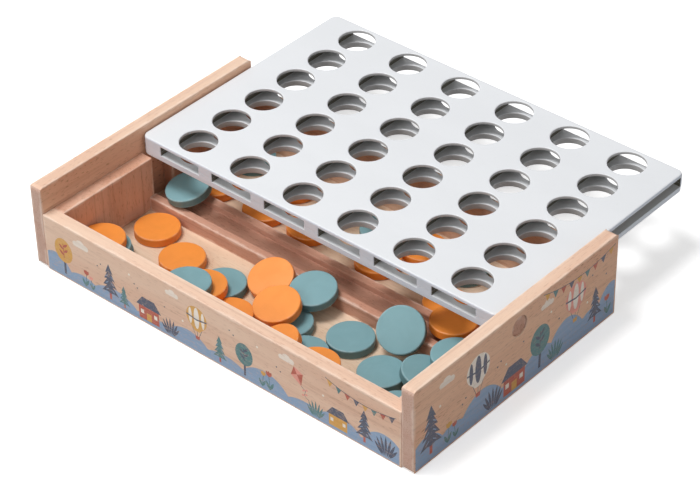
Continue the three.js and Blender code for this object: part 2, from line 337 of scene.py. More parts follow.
def run_recipe(obj, group, values):
    """Evaluates a recipe on an object with the values of its named inputs."""
    modifier = obj.modifiers.new(group.name, "NODES")
    modifier.node_group = group
    for item in group.interface.items_tree:
        if item.item_type == "SOCKET" and item.in_out == "INPUT" and item.name in values:
            modifier[item.identifier] = values[item.name]
    return settled(obj)


# Mesh steps


def linked(name, mesh):
    obj = bpy.data.objects.new(name, mesh)
    bpy.context.scene.collection.objects.link(obj)
    return obj


def settled(obj):
    """Gives the object its evaluated mesh and takes its modifiers off."""
    bpy.context.view_layer.update()
    graph = bpy.context.evaluated_depsgraph_get()
    mesh = bpy.data.meshes.new_from_object(obj.evaluated_get(graph))
    old = obj.data
    obj.modifiers.clear()
    obj.data = mesh
    bpy.data.meshes.remove(old)
    return obj


def tidied(mesh, merge=WELD, joined=None):
    """Merges doubled points and turns the faces outwards, after another mesh is joined."""
    work = bmesh.new()
    work.from_mesh(mesh)
    if joined:
        work.from_mesh(joined)
    bmesh.ops.remove_doubles(work, verts=work.verts, dist=merge)
    bmesh.ops.recalc_face_normals(work, faces=work.faces)
    work.to_mesh(mesh)
    work.free()
    return mesh


SHARP_ANGLE = math.radians(38)
# Least share of a face's normal along an axis for the face to look along it.
FACING = 0.72


def shaded(obj):
    """Smooth shading that keeps flat faces flat, stored in the mesh."""
    obj.data.polygons.foreach_set("use_smooth", [True] * len(obj.data.polygons))
    obj.data.set_sharp_from_angle(angle=SHARP_ANGLE)
    weigh = obj.modifiers.new("Face weights", "WEIGHTED_NORMAL")
    weigh.mode = "FACE_AREA"
    weigh.weight = 100
    weigh.keep_sharp = True
    return settled(obj)


def mark_faces(mesh, name, axis):
    """Sets an attribute on the faces that look along an axis."""
    index = "XYZ".index(axis)
    values = [1.0 if abs(face.normal[index]) > FACING else 0.0 for face in mesh.polygons]
    layer = mesh.attributes.new(name, "FLOAT", "FACE")
    layer.data.foreach_set("value", values)


def stand_for(obj, node, material):
    """Shades a piece and puts it in the place of a CAD node."""
    shaded(obj)
    obj.data.materials.clear()
    obj.data.materials.append(material)
    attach(obj, BODY_OF[node])
    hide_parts(node)


def eased_block(node, arris, steps, corner=None):
    """A block over a CAD node's box with rounded edges. Corner rounds the four edges along X."""
    low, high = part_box(node)
    corner = corner or arris
    widest = max(arris, corner)
    work = bmesh.new()
    bmesh.ops.create_cube(work, size=2)
    for point in work.verts:
        point.co = Vector(low[i] if point.co[i] < 0 else high[i] for i in range(3))
    weight = work.edges.layers.float.new("bevel_weight_edge")
    for edge in work.edges:
        along = edge.verts[0].co - edge.verts[1].co
        along_x = abs(along.x) > max(abs(along.y), abs(along.z))
        edge[weight] = (corner if along_x else arris) / widest
    mesh = bpy.data.meshes.new(node)
    work.to_mesh(mesh)
    work.free()
    obj = linked("dressed_" + node, mesh)
    bevel = obj.modifiers.new("Rounded edges", "BEVEL")
    bevel.limit_method = "WEIGHT"
    bevel.width = widest
    bevel.segments = steps
    return settled(obj)


def turned_body(name, middle, steps, sides, merge=WELD):
    """A body turned about an axis along X through middle. Each step is a place and a radius, and
    an end with a radius is closed by a flat face."""
    points, faces = [], []
    for place, radius in steps:
        for index in range(sides):
            angle = 2 * math.pi * index / sides
            y, z = middle.y + radius * math.cos(angle), middle.z + radius * math.sin(angle)
            points.append((place, y, z))
    last = (len(steps) - 1) * sides
    for start in range(0, last, sides):
        for index in range(sides):
            here, after = start + index, start + (index + 1) % sides
            faces.append((here, after, after + sides, here + sides))
    for start, radius in ((0, steps[0][1]), (last, steps[-1][1])):
        if radius > 0:
            faces.append(tuple(range(start, start + sides)))
    mesh = bpy.data.meshes.new(name)
    mesh.from_pydata(points, [], faces)
    return linked(name, tidied(mesh, merge))


def cut_out(obj, cutter):
    """Cuts one object out of another and takes the cutter away."""
    cut = obj.modifiers.new("Bore", "BOOLEAN")
    cut.object = cutter
    cut.operation = "DIFFERENCE"
    cut.solver = "EXACT"
    settled(obj)
    bpy.data.objects.remove(cutter)


def rounded_corners(corners, steps):
    """A closed outline with each corner, given as across, up and radius, rounded."""
    outline = []
    count = len(corners)
    for index, (u, v, radius) in enumerate(corners):
        here = Vector((u, v))
        if radius <= 0:
            outline.append(here)
            continue
        before = (Vector(corners[index - 1][:2]) - here).normalized()
        after = (Vector(corners[(index + 1) % count][:2]) - here).normalized()
        centre = here + (before + after) * radius
        for step in range(steps + 1):
            angle = math.pi / 2 * step / steps
            outline.append(centre - after * radius * math.cos(angle) - before * radius * math.sin(angle))
    return outline


def drawn_out(name, section, start, stop):
    """A prism along X over a section given in Y and Z."""
    count = len(section)
    points = [(x, y, z) for x in (start, stop) for y, z in section]
    faces = [(i, (i + 1) % count, count + (i + 1) % count, count + i) for i in range(count)]
    faces += [tuple(range(count))[::-1], tuple(range(count, 2 * count))]
    mesh = bpy.data.meshes.new(name)
    mesh.from_pydata(points, [], faces)
    return tidied(mesh)


def closed_edges(first, count):
    """The edges of a closed loop of points that starts at the point with number first."""
    return [(first + i, first + (i + 1) % count) for i in range(count)]


def middle_of(points, corners):
    """The middle of some of a list's points, given by their numbers."""
    u = sum(points[i].x for i in corners) / len(corners)
    v = sum(points[i].y for i in corners) / len(corners)
    return u, v


# Wood finish


GRAIN_TURNS = {"X": (0, 0, 0), "Y": (0, 0, -math.pi / 2), "Z": (0, math.pi / 2, 0)}
# Repeats of the wood's patterns per metre, along the fibres first.
WOOD_BANDS = (5, 48, 48)
WOOD_LINES = (7, 330, 330)
WOOD_FIBRES = (45, 1900, 1900)
WOOD_FLECKS = (230, 1350, 1350)
WOOD_PORES = 1500
WOOD_WEAR = 90
INK_SPECKLE = 700
# Shades of the end grain and of the beam as a whole, and the painted shade, warmer and darker, of the side
# panels' broad faces.
END_SHADE = (0.73, 0.71, 0.77)
BROAD_FACE_PAINTED_SHADE = (1.0, 0.86, 0.77)
BEAM_SHADE = (0.8, 0.74, 0.76)
WORN_WOOD = (1.0, 0.86, 0.74)


def wood_finish(name, node, tones, grain, seat, figure=1.0, ends=0.75, inked=False):
    """Beech with its fibres along one axis. Seat shifts the pattern. Figure and ends say how
    strong the grain and the darker end grain are."""
    pale, warm, deep = tones
    w = Finish(name)
    turning = {"Vector": w.place, "Location": seat, "Rotation": GRAIN_TURNS[grain]}
    turned = w.lay("ShaderNodeMapping", turning)
    bands = w.noise(WOOD_BANDS, 3, 0.5, 0.4, turned)
    lines = w.noise(WOOD_LINES, 3, 0.6, 0.3, turned)
    fibres = w.noise(WOOD_FIBRES, 3, 0.6, 0.0, turned)
    fleck_field = w.noise(WOOD_FLECKS, 1, 0.5, 0.0, turned)
    flecks = w.product(w.reach(fleck_field, 0.6, 0.7), w.reach(bands, 0.35, 0.6, 0.35, 1))
    colour = w.blend(w.reach(bands, 0.3, 0.72), pale, warm)
    colour = w.blend(w.reach(lines, 0.5, 0.78, 0, 0.42 * figure), colour, deep)
    colour = w.blend(w.product(flecks, 0.5 * figure), colour, deep)
    colour = w.brighten(colour, w.reach(fibres, 0.25, 0.75, 1 - 0.07 * figure, 1 + 0.05 * figure))

    broad_face = w.attribute("broad_face")
    # Painted shade: the faces that look along X are made warmer and darker.
    colour = w.blend(broad_face, colour, w.shade(colour, BROAD_FACE_PAINTED_SHADE))
    colour = w.blend(w.product(w.product(flecks, broad_face), 0.5), colour, deep)
    pores = w.reach(w.noise(WOOD_PORES, 1, 0.5), 0.52, 0.7, 0, 0.5)
    sawn = w.blend(pores, w.shade(w.blend(0.35, colour, warm), END_SHADE), deep)
    colour = w.blend(w.product(w.attribute("end_grain"), ends), colour, sawn)

    edge = edge_distance(w, *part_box(node))
    ragged = w.math("ADD", edge, w.reach(w.noise(WOOD_WEAR, 4, 0.6), 0.3, 0.7, -0.9 * MM, 1.1 * MM))
    worn = w.reach(ragged, 0.3 * MM, 2 * MM, 1, 0)
    colour = w.blend(w.product(worn, 0.3), colour, WORN_WOOD)
    roughness = w.reach(fibres, 0.3, 0.7, 0.58, 0.72)
    height = w.math("SUBTRACT", w.product(fibres, 0.5), flecks)
    if inked:
        ink = w.node("ShaderNodeAttribute", attribute_name="ink").outputs
        print_colour = w.brighten(ink["Color"], w.reach(lines, 0.35, 0.75, 1.04, 0.9))
        speckle = w.reach(w.noise(INK_SPECKLE, 2, 0.6), 0.25, 0.5, 0.8, 1)
        hold = w.product(w.product(ink["Alpha"], 0.94), speckle)
        hold = w.product(hold, w.math("SUBTRACT", 1.0, w.product(flecks, 0.35)))
        colour = w.blend(hold, colour, print_colour)
        roughness = w.math("SUBTRACT", roughness, w.product(ink["Alpha"], 0.1))
        height = w.math("ADD", height, w.product(ink["Alpha"], 0.25))
    return w.close_gloss(colour, roughness, height, 0.12 * MM, 0.55, 0.35)


def edge_distance(w, low, high):
    """Distance to a block's nearest edge: the middle one of the distances to three faces."""
    centre = [(a + b) / 2 for a, b in zip(low, high)]
    half = [(b - a) / 2 for a, b in zip(low, high)]
    spread = w.lay("ShaderNodeVectorMath", {0: w.vector("SUBTRACT", w.place, centre)}, operation="ABSOLUTE")
    parts = w.node("ShaderNodeSeparateXYZ", {0: w.vector("SUBTRACT", half, spread)}).outputs
    lesser = w.math("MINIMUM", parts[0], parts[1])
    greater = w.math("MAXIMUM", parts[0], parts[1])
    return w.math("MAXIMUM", lesser, w.math("MINIMUM", greater, parts[2]))


# Printed scenes


# Widths of printed lines in millimetres.
ROPE, CORD, STEM = 0.35, 0.45, 0.55
RIDGE_STEP = 1.3
LOWEST_HILL = 3.0
HILL_ROUNDNESS = 0.62
BLADES = 7
FLAG_INKS = ("mustard", "teal", "brick", "slate")
CORD_STEPS = 24


def oval(u, v, half_u, half_v, points=22):
    angles = [2 * math.pi * index / points for index in range(points)]
    return [(u + half_u * math.cos(angle), v + half_v * math.sin(angle)) for angle in angles]


def leaf(u, v, length, width, turn, points=7):
    """A pointed leaf that starts at (u, v) and runs along turn, in degrees."""
    there, back = [], []
    for index in range(points + 1):
        share = index / points
        swell = width / 2 * math.sin(math.pi * share) ** 0.8 if 0 < index < points else 0
        there.append((share * length, -swell))
        if 0 < index < points:
            back.append((share * length, swell))
    c, s = math.cos(math.radians(turn)), math.sin(math.radians(turn))
    return [(u + x * c - y * s, v + x * s + y * c) for x, y in there + back[::-1]]


def stroke(points, width):
    """A ribbon along a row of points."""
    left, right = [], []
    for index, (u, v) in enumerate(points):
        before = points[max(index - 1, 0)]
        after = points[min(index + 1, len(points) - 1)]
        du, dv = after[0] - before[0], after[1] - before[1]
        size = math.hypot(du, dv) or 1
        left.append((u - dv / size * width / 2, v + du / size * width / 2))
        right.append((u + dv / size * width / 2, v - du / size * width / 2))
    return right + left[::-1]


def trapezium(u, base, top, half_base, half_top):
    return [(u - half_base, base), (u + half_base, base), (u + half_top, top), (u - half_top, top)]


class Picture:
    """Shapes of a printed scene in the order of printing, in millimetres across and up one face."""

    def __init__(self, inks):
        self.inks = inks
        self.shapes = []

    def add(self, points, ink, hold=1.0):
        self.shapes.append((points, (*self.inks[ink], hold)))

    def hills(self, half, base, tops):
        """A row of hills, each given as its middle, its height and half its width."""
        ridge = []
        count = int(2 * half / RIDGE_STEP)
        for index in range(count + 1):
            u = 2 * half * index / count - half
            height = LOWEST_HILL
            for middle, top, reach in tops:
                share = (u - middle) / reach
                if abs(share) < 1:
                    height = max(height, top * (1 - share * share) ** HILL_ROUNDNESS)
            ridge.append((u, base + height))
        self.add([(half, base)] + ridge[::-1] + [(-half, base)], "hill")

    def fir(self, u, v, height, ink="slate"):
        self.add(stroke([(u, v), (u, v + height * 0.3)], height * 0.07), "brick")
        for tier in range(4):
            low = v + height * (0.16 + 0.19 * tier)
            half = height * (0.27 - 0.05 * tier)
            top = min(low + height * 0.34, v + height)
            hem = low + height * 0.03
            self.add([
                (u - half, low), (u - half * 0.35, hem), (u, low), (u + half * 0.4, hem),
                (u + half, low), (u, top),
            ], ink)
        for side in (-1, 1):
            for tier in range(3):
                low = v + height * (0.2 + 0.19 * tier)
                start = (u + side * height * 0.05, low + height * 0.09)
                stop = (u + side * height * 0.13, low + height * 0.03)
                self.add(stroke([start, stop], height * 0.018), "hill")

    def round_tree(self, u, v, height, ink="mustard", mark="brick"):
        self.add(stroke([(u, v), (u + height * 0.02, v + height * 0.6)], height * 0.07), "slate")
        self.add(oval(u, v + height * 0.66, height * 0.29, height * 0.34), ink)
        for side, rise in ((-1, 0.52), (1, 0.6), (-1, 0.68), (1, 0.76)):
            self.add(leaf(u, v + height * rise, height * 0.19, height * 0.07, 90 - side * 48), mark)
        self.add(stroke([(u, v + height * 0.45), (u, v + height * 0.86)], height * 0.025), mark)

    def tulip(self, u, v, height, ink="brick", lean=0.0):
        top = (u + lean, v + height * 0.7)
        self.add(stroke([(u, v), (u + lean * 0.4, v + height * 0.35), top], STEM), "teal")
        for side in (-1, 1):
            self.add(leaf(u, v, height * 0.5, height * 0.15, 90 - side * 26), "teal")
        for turn in (118, 62, 90):
            self.add(leaf(*top, height * 0.32, height * 0.17, turn, 5), ink)

    def balloon(self, u, v, radius, ink, stripe, basket="brick"):
        foot = v - radius * 1.62
        for side in (-1, 0, 1):
            rope = [(u + side * radius * 0.55, v - radius * 0.72), (u + side * radius * 0.18, foot)]
            self.add(stroke(rope, ROPE), "slate")
        self.add(trapezium(u, v - radius * 1.2, v - radius * 0.6, radius * 0.24, radius * 0.78), ink)
        self.add(oval(u, v, radius, radius * 1.02, 32), ink)
        for share in (-0.62, 0.0, 0.62):
            wide = radius * (0.2 if share else 0.26)
            tall = radius * (0.74 if share else 0.96)
            middle = u + share * radius * 0.98
            self.add(oval(middle, v, wide * (1 - 0.3 * abs(share)), tall, 20), stripe)
        side, rise = radius * 0.98, v + radius * 0.02
        self.add(stroke([(u - side, rise), (u, v - radius * 0.14), (u + side, rise)], radius * 0.12), "slate")
        self.add(trapezium(u, foot - radius * 0.3, foot, radius * 0.17, radius * 0.22), basket)

    def cloud(self, u, v, size):
        for du, dv, half in ((-0.42, 0, 0.26), (0.0, 0.12, 0.36), (0.42, 0.0, 0.27)):
            puff = oval(u + du * size, v + dv * size, half * size, half * size * 0.8, 18)
            self.add(puff, "cream", 0.85)
        self.add(trapezium(u, v - 0.2 * size, v, 0.62 * size, 0.55 * size), "cream", 0.85)

    def house(self, u, v, size, ink="brick"):
        self.add(trapezium(u, v, v + size * 0.6, size * 0.5, size * 0.5), ink)
        self.add(trapezium(u, v + size * 0.58, v + size, size * 0.62, size * 0.3), "slate")
        self.add(trapezium(u, v, v + size * 0.34, size * 0.12, size * 0.12), "mustard")
        for side in (-1, 1):
            middle = u + side * size * 0.33
            pane = trapezium(middle, v + size * 0.24, v + size * 0.42, size * 0.08, size * 0.08)
            self.add(pane, "cream")

    def grass(self, u, v, height, ink="slate"):
        for index in range(BLADES):
            share = index / (BLADES - 1) - 0.5
            tall = height * (1 - 1.3 * share * share)
            self.add(leaf(u + share * height * 0.35, v, tall, height * 0.13, 90 - share * 72, 6), ink)

    def kite(self, u, v, size, ink, other, turn):
        c, s = math.cos(math.radians(turn)), math.sin(math.radians(turn))

        def at(x, y):
            x, y = x * size, y * size
            return (u + x * c - y * s, v + x * s + y * c)

        tail = [at(0, -0.6), at(0.16, -0.85), at(-0.04, -1.1), at(0.16, -1.35)]
        self.add(stroke(tail, ROPE), "slate")
        for bow in (at(0.14, -0.82), at(0, -1.06)):
            for way in (turn + 180, turn):
                self.add(leaf(*bow, size * 0.2, size * 0.12, way, 5), ink)
        foot, right, top, left, middle = at(0, -0.6), at(0.4, 0), at(0, 0.42), at(-0.4, 0), at(0, 0)
        self.add([foot, right, top, left], ink)
        self.add([foot, right, middle], other)
        self.add([top, left, middle], other)

    def bunting(self, start, stop, sag, flags):
        def at(share):
            u, v = (first + (last - first) * share for first, last in zip(start, stop))
            return (u, v - sag * 4 * share * (1 - share))

        for index in range(flags):
            first, last = at((index + 0.16) / flags), at((index + 0.84) / flags)
            size = math.hypot(last[0] - first[0], last[1] - first[1])
            tip = ((first[0] + last[0]) / 2, (first[1] + last[1]) / 2 - size * 0.95)
            self.add([first, tip, last], FLAG_INKS[index % len(FLAG_INKS)])
        cord = [at(index / CORD_STEPS) for index in range(CORD_STEPS + 1)]
        self.add(stroke(cord, CORD), "slate")

    def dots(self, places, radius, ink):
        for u, v in places:
            self.add(oval(u, v, radius, radius, 10), ink)


def front_picture(p):
    p.hills(143, 1.2, [
        (-136, 16, 15), (-112, 9, 16), (-84, 12, 22), (-52, 8, 18), (-22, 13, 19), (8, 9, 20),
        (40, 14, 20), (72, 8, 18), (98, 12, 19), (132, 17, 18),
    ])
    p.cloud(-112, 33, 10)
    p.cloud(-34, 35, 8)
    p.cloud(58, 34, 9)
    p.round_tree(-128, 4, 27)
    p.tulip(-110, 3, 13, "brick", 1.2)
    p.tulip(-104, 3, 10, "blush", -0.8)
    p.fir(-88, 4, 27)
    p.fir(-76, 3, 17, "teal")
    p.house(-55, 3.2, 17)
    p.grass(-37, 2.4, 13)
    p.balloon(-14, 27, 8.4, "mustard", "cream")
    p.fir(4, 3, 20, "teal")
    p.round_tree(24, 3.5, 24, "teal", "slate")
    p.tulip(38, 3, 12, "mustard", 1.0)
    p.tulip(44, 3, 14, "brick", -0.5)
    p.kite(66, 27, 13, "blush", "brick", 24)
    p.grass(80, 2.4, 12, "teal")
    p.house(97, 3.2, 14, "mustard")
    p.fir(117, 4, 24)
    p.grass(133, 2.4, 15)
    p.bunting((88, 37), (141, 35), 4.2, 8)
    p.dots([
        (-98, 25), (-95, 27.5), (-66, 27), (-63.5, 25), (-41, 22), (13, 32), (16, 29.8), (50, 24), (53, 22),
    ], 0.55, "slate")
    p.dots([(-70, 32), (-26, 19), (35, 31), (86, 22)], 0.8, "cream")


def right_picture(p):
    p.hills(93.6, 1.6, [
        (-84, 20, 18), (-60, 14, 17), (-34, 22, 22), (-6, 13, 18), (20, 19, 20), (46, 25, 20),
        (70, 17, 16), (90, 26, 16),
    ])
    p.cloud(-66, 50, 10)
    p.cloud(26, 49, 9)
    p.fir(-80, 6, 36)
    p.tulip(-65, 4, 15, "mustard", 1.0)
    p.tulip(-58, 4, 12, "brick", -1.0)
    p.balloon(-38, 41, 10.5, "cream", "slate")
    p.grass(-24, 3, 16)
    p.house(-4, 4, 20)
    p.round_tree(20, 5, 32, "teal", "slate")
    p.grass(35, 3, 14, "teal")
    p.balloon(54, 38, 10, "blush", "cream", "mustard")
    p.fir(74, 6, 27)
    p.tulip(87, 5, 15, "brick", -1.0)
    p.bunting((22, 58), (92, 55), 5.5, 9)
    p.dots([
        (-52, 24), (-49, 27), (-20, 31), (-17, 33.5), (4, 35), (38, 31), (70, 44), (84, 37),
    ], 0.65, "slate")
    p.dots([(-72, 36), (-12, 28), (30, 41), (66, 26)], 0.9, "cream")


def left_picture(p):
    p.hills(93.6, 1.6, [
        (-88, 24, 18), (-58, 16, 20), (-28, 21, 20), (4, 14, 20), (34, 23, 21), (62, 16, 18), (88, 21, 18),
    ])
    p.cloud(-30, 50, 10)
    p.cloud(60, 49, 9)
    p.round_tree(-76, 5, 33)
    p.kite(-50, 40, 16, "teal", "slate", -18)
    p.grass(-42, 3, 15)
    p.fir(-22, 5, 30)
    p.tulip(-4, 4, 15, "brick", 1.0)
    p.house(16, 4, 19, "mustard")
    p.balloon(42, 39, 10.5, "blush", "cream")
    p.grass(56, 3, 14, "teal")
    p.fir(74, 6, 33, "teal")
    p.bunting((-92, 57), (-24, 57), 6, 9)
    p.dots([(-60, 27), (-10, 30), (-7, 33), (28, 31), (60, 29), (86, 42)], 0.65, "slate")


def back_picture(p):
    p.hills(143, 1.2, [
        (-128, 12, 20), (-98, 16, 19), (-66, 9, 19), (-34, 14, 20), (2, 10, 22), (34, 15, 18),
        (64, 9, 18), (94, 13, 20), (128, 16, 18),
    ])
    p.cloud(-84, 34, 9)
    p.cloud(20, 35, 9)
    p.cloud(112, 34, 8)
    p.fir(-130, 4, 25, "teal")
    p.house(-108, 3.2, 16)
    p.balloon(-62, 27, 8.2, "blush", "cream")
    p.grass(-84, 2.4, 13)
    p.round_tree(-36, 3.5, 26)
    p.tulip(-20, 3, 13, "brick", 1.0)
    p.fir(0, 4, 24)
    p.kite(42, 27, 13, "mustard", "teal", -20)
    p.grass(26, 2.4, 12, "teal")
    p.round_tree(64, 3.5, 23, "teal", "slate")
    p.house(86, 3.2, 15, "mustard")
    p.fir(108, 4, 26)
    p.grass(128, 2.4, 14)
    p.bunting((-52, 38), (14, 38), 4.5, 9)


def face_frame(axis, side):
    """How a face of the case is seen from outside: across and up in millimetres, and back."""
    across = {("Y", -1): (0, 1), ("Y", 1): (0, -1), ("X", 1): (1, 1), ("X", -1): (1, -1)}
    index, sign = across[axis, side]
    plane = "XYZ".index(axis)

    def flat(point):
        return (point[index] * sign / MM, point[2] / MM)

    def solid(u, v, level):
        point = [0.0, 0.0, v * MM]
        point[index] = u * sign * MM
        point[plane] = level
        return Vector(point)

    return flat, solid


def inside_loops(u, v, loops):
    """Even-odd test of a point against closed loops."""
    inside = False
    for loop in loops:
        for (u0, v0), (u1, v1) in zip(loop, loop[1:] + loop[:1]):
            if (v0 > v) != (v1 > v) and u < (u1 - u0) * (v - v0) / (v1 - v0) + u0:
                inside = not inside
    return inside


def rim_loops(faces, flat):
    """The closed rims round a group of faces, each a list of flat points."""
    chosen = set(faces)
    rim = {}
    for face in faces:
        for loop in face.loops:
            if sum(f in chosen for f in loop.edge.link_faces) == 1:
                rim[loop.vert] = loop.link_loop_next.vert
    loops = []
    while rim:
        start, after = rim.popitem()
        loop = [start]
        while after is not start:
            loop.append(after)
            after = rim.pop(after)
        loops.append([flat(vert.co) for vert in loop])
    return loops


BARE = (1.0, 1.0, 1.0, 0.0)
PRINT_WELD = 0.0001 * MM


def print_on(mesh, axis, side, level, shapes):
    """Cuts the shapes' outlines into one flat face and stores the ink on its triangles."""
    flat, solid = face_frame(axis, side)
    index = "XYZ".index(axis)
    work = bmesh.new()
    work.from_mesh(mesh)
    ink = work.loops.layers.float_color.new("ink")
    for face in work.faces:
        for loop in face.loops:
            loop[ink] = BARE
    facing = [face for face in work.faces if face.normal[index] * side > 0.999]
    old = [face for face in facing if all(abs(v.co[index] - level) < NEAR for v in face.verts)]
    loops = rim_loops(old, flat)
    bmesh.ops.delete(work, geom=old, context="FACES_ONLY")
    points, edges, faces = [], [], []
    for loop in loops:
        edges.extend(closed_edges(len(points), len(loop)))
        points.extend(Vector(place) for place in loop)
    for shape, _colour in shapes:
        turning = sum(a[0] * b[1] - b[0] * a[1] for a, b in zip(shape, shape[1:] + shape[:1]))
        ordered = shape if turning > 0 else shape[::-1]
        faces.append(list(range(len(points), len(points) + len(ordered))))
        points.extend(Vector(place) for place in ordered)
    places, _edges, cells, _sources, _edge_sources, shapes_of = delaunay_2d_cdt(
        points, edges, faces, 0, CDT_SLACK)
    verts = [work.verts.new(solid(place.x, place.y, level)) for place in places]
    for corners, sources in zip(cells, shapes_of):
        if not inside_loops(*middle_of(places, corners), loops):
            continue
        face = work.faces.new([verts[i] for i in corners])
        face.normal_update()
        if face.normal[index] * side < 0:
            face.normal_flip()
        colour = shapes[max(sources)][1] if sources else BARE
        for loop in face.loops:
            loop[ink] = colour
    loose = [vert for vert in work.verts if not vert.link_faces]
    bmesh.ops.delete(work, geom=loose, context="VERTS")
    bmesh.ops.remove_doubles(work, verts=work.verts, dist=PRINT_WELD)
    work.to_mesh(mesh)
    work.free()


# Case


PINS = {-1: "pivot_pin_left", 1: "pivot_pin_right"}
PRINTED = (
    ("front_panel", "Y", -1, front_picture),
    ("back_panel", "Y", 1, back_picture),
    ("side_panel_left", "X", -1, left_picture),
    ("side_panel_right", "X", 1, right_picture),
)
# Strength of the grain and, where it differs from the usual, of the end grain.
PANEL_GRAIN = (0.6, 0.9)
WALL_GRAIN = (0.9, 0.15)
FLOOR_GRAIN = (0.7,)
BEAM_GRAIN = (0.8,)
PIN_GRAIN = (1.3,)
PIN_GAP = 0.3 * MM
BORE_DEPTH = 5.6 * MM
BORE_CHAMFER = 0.4 * MM
BORE_SIDES = 64
PIN_HEAD_LENGTH = 4.7 * MM
PIN_SIDES = 48
PIN_WELD = 0.01 * MM
FLOOR_ARRIS = 0.3 * MM
OVERRUN = 1 * MM


def wood_tones(kind):
    case = bpy.context.scene.game_case
    return [tuple(getattr(case, f"{kind}_{shade}")) for shade in ("pale", "warm", "deep")]


def dress_in_wood(piece, node, name, tones, grain, seat, strengths, inked=False):
    """Marks the end grain, lays the piece's own wood and puts it in the place of its node."""
    mark_faces(piece.data, "end_grain", grain)
    finish = wood_finish(name, node, tones, grain, seat, *strengths, inked=inked)
    stand_for(piece, node, finish)


def shank_radius(node):
    """Radius of a pivot pin's shank, from the end of the CAD pin inside the case."""
    low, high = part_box(node)
    middle = (low + high) / 2
    inner = low.x if middle.x > 0 else high.x
    points = [v.co for v in frame["nodes"][node].data.vertices if abs(v.co.x - inner) < NEAR]
    return max(math.hypot(point.y - middle.y, point.z - middle.z) for point in points)


def outer_inner(low, high, side):
    """The outer and the inner end along X of a piece on the left (-1) or the right (1)."""
    return (high.x, low.x) if side > 0 else (low.x, high.x)


class GAME_OT_case_panels(bpy.types.Operator):
    """Makes the four printed panels of the case"""

    bl_idname = "game.case_panels"
    bl_label = "Case panels"

    def execute(self, context):
        case = context.scene.game_case
        settings = context.scene.game_print
        inks = {name: tuple(getattr(settings, name)) for name in PrintSettings.__annotations__}
        for number, (node, axis, side, draw) in enumerate(PRINTED):
            low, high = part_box(node)
            ends = axis == "X"
            piece = eased_block(node, case.arris, steps=4, corner=case.panel_corner if ends else None)
            if ends:
                cut_out(piece, self.bore(low, high, side))
            picture = Picture(inks)
            draw(picture)
            level = (high if side > 0 else low)["XYZ".index(axis)]
            print_on(piece.data, axis, side, level, picture.shapes)
            # The faces that look along X get more flecks and a painted shade.
            mark_faces(piece.data, "broad_face", "X")
            dress_in_wood(
                piece, node, "beech_" + node, wood_tones("beech"), "Y" if ends else "X",
                (0.37 * number, 0.11 * number, 0.23), PANEL_GRAIN, inked=True)
        return {"FINISHED"}

    def bore(self, low, high, side):
        """The stepped bore of a side panel, with a gap round the pin's head and shank."""
        pin = PINS[side]
        pin_low, pin_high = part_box(pin)
        shank = shank_radius(pin) + PIN_GAP
        head = (pin_high.z - pin_low.z) / 2 + PIN_GAP
        outer, inner = outer_inner(low, high, side)
        seat = outer - side * BORE_DEPTH
        return turned_body("bore", (pin_low + pin_high) / 2, [
            (outer + side * OVERRUN, head + BORE_CHAMFER + OVERRUN), (outer, head + BORE_CHAMFER),
            (outer - side * BORE_CHAMFER, head), (seat, head), (seat, shank), (inner, shank),
            (inner - side * OVERRUN, shank),
        ], BORE_SIDES)


class GAME_OT_tray(bpy.types.Operator):
    """Makes the floor, the inner walls and the channel beam"""

    bl_idname = "game.tray"
    bl_label = "Tray"

    def execute(self, context):
        arris = context.scene.game_case.inner_arris
        floor = eased_block("base_panel", FLOOR_ARRIS, steps=2)
        tones, seat = wood_tones("floor"), (0.2, 0.4, 0.1)
        dress_in_wood(floor, "base_panel", "plywood_floor", tones, "X", seat, FLOOR_GRAIN)
        tones = wood_tones("inner")
        walls = [node for node in NODES if node.startswith("inner_wall")]
        for number, node in enumerate(walls):
            wall = eased_block(node, arris, steps=3)
            seat = (0.5 * number, 0.3, 0.17 * number)
            dress_in_wood(wall, node, "beech_" + node, tones, "Z", seat, WALL_GRAIN)
        beam = linked("dressed_channel_beam", self.beam_mesh(arris))
        browner = [[part * share for part, share in zip(tone, BEAM_SHADE)] for tone in tones]
        seat = (0.8, 0.2, 0.6)
        dress_in_wood(beam, "channel_beam", "beech_beam", browner, "X", seat, BEAM_GRAIN)
        return {"FINISHED"}

    def beam_mesh(self, arris):
        """The beam's section with rounded lips, drawn out along X. The CAD node gives the channel."""
        low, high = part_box("channel_beam")
        points = [v.co for v in frame["nodes"]["channel_beam"].data.vertices]
        inner = -max(p.y for p in points if abs(p.z - high.z) < NEAR and p.y < 0)
        level = max(p.z for p in points if p.z < high.z - 10 * NEAR)
        in_channel = arris * 0.6
        section = rounded_corners([
            (low.y, low.z, 0), (high.y, low.z, 0), (high.y, high.z, arris), (inner, high.z, arris),
            (inner, level, in_channel), (-inner, level, in_channel), (-inner, high.z, arris),
            (low.y, high.z, arris),
        ], steps=4)
        return drawn_out("beam", section, low.x, high.x)


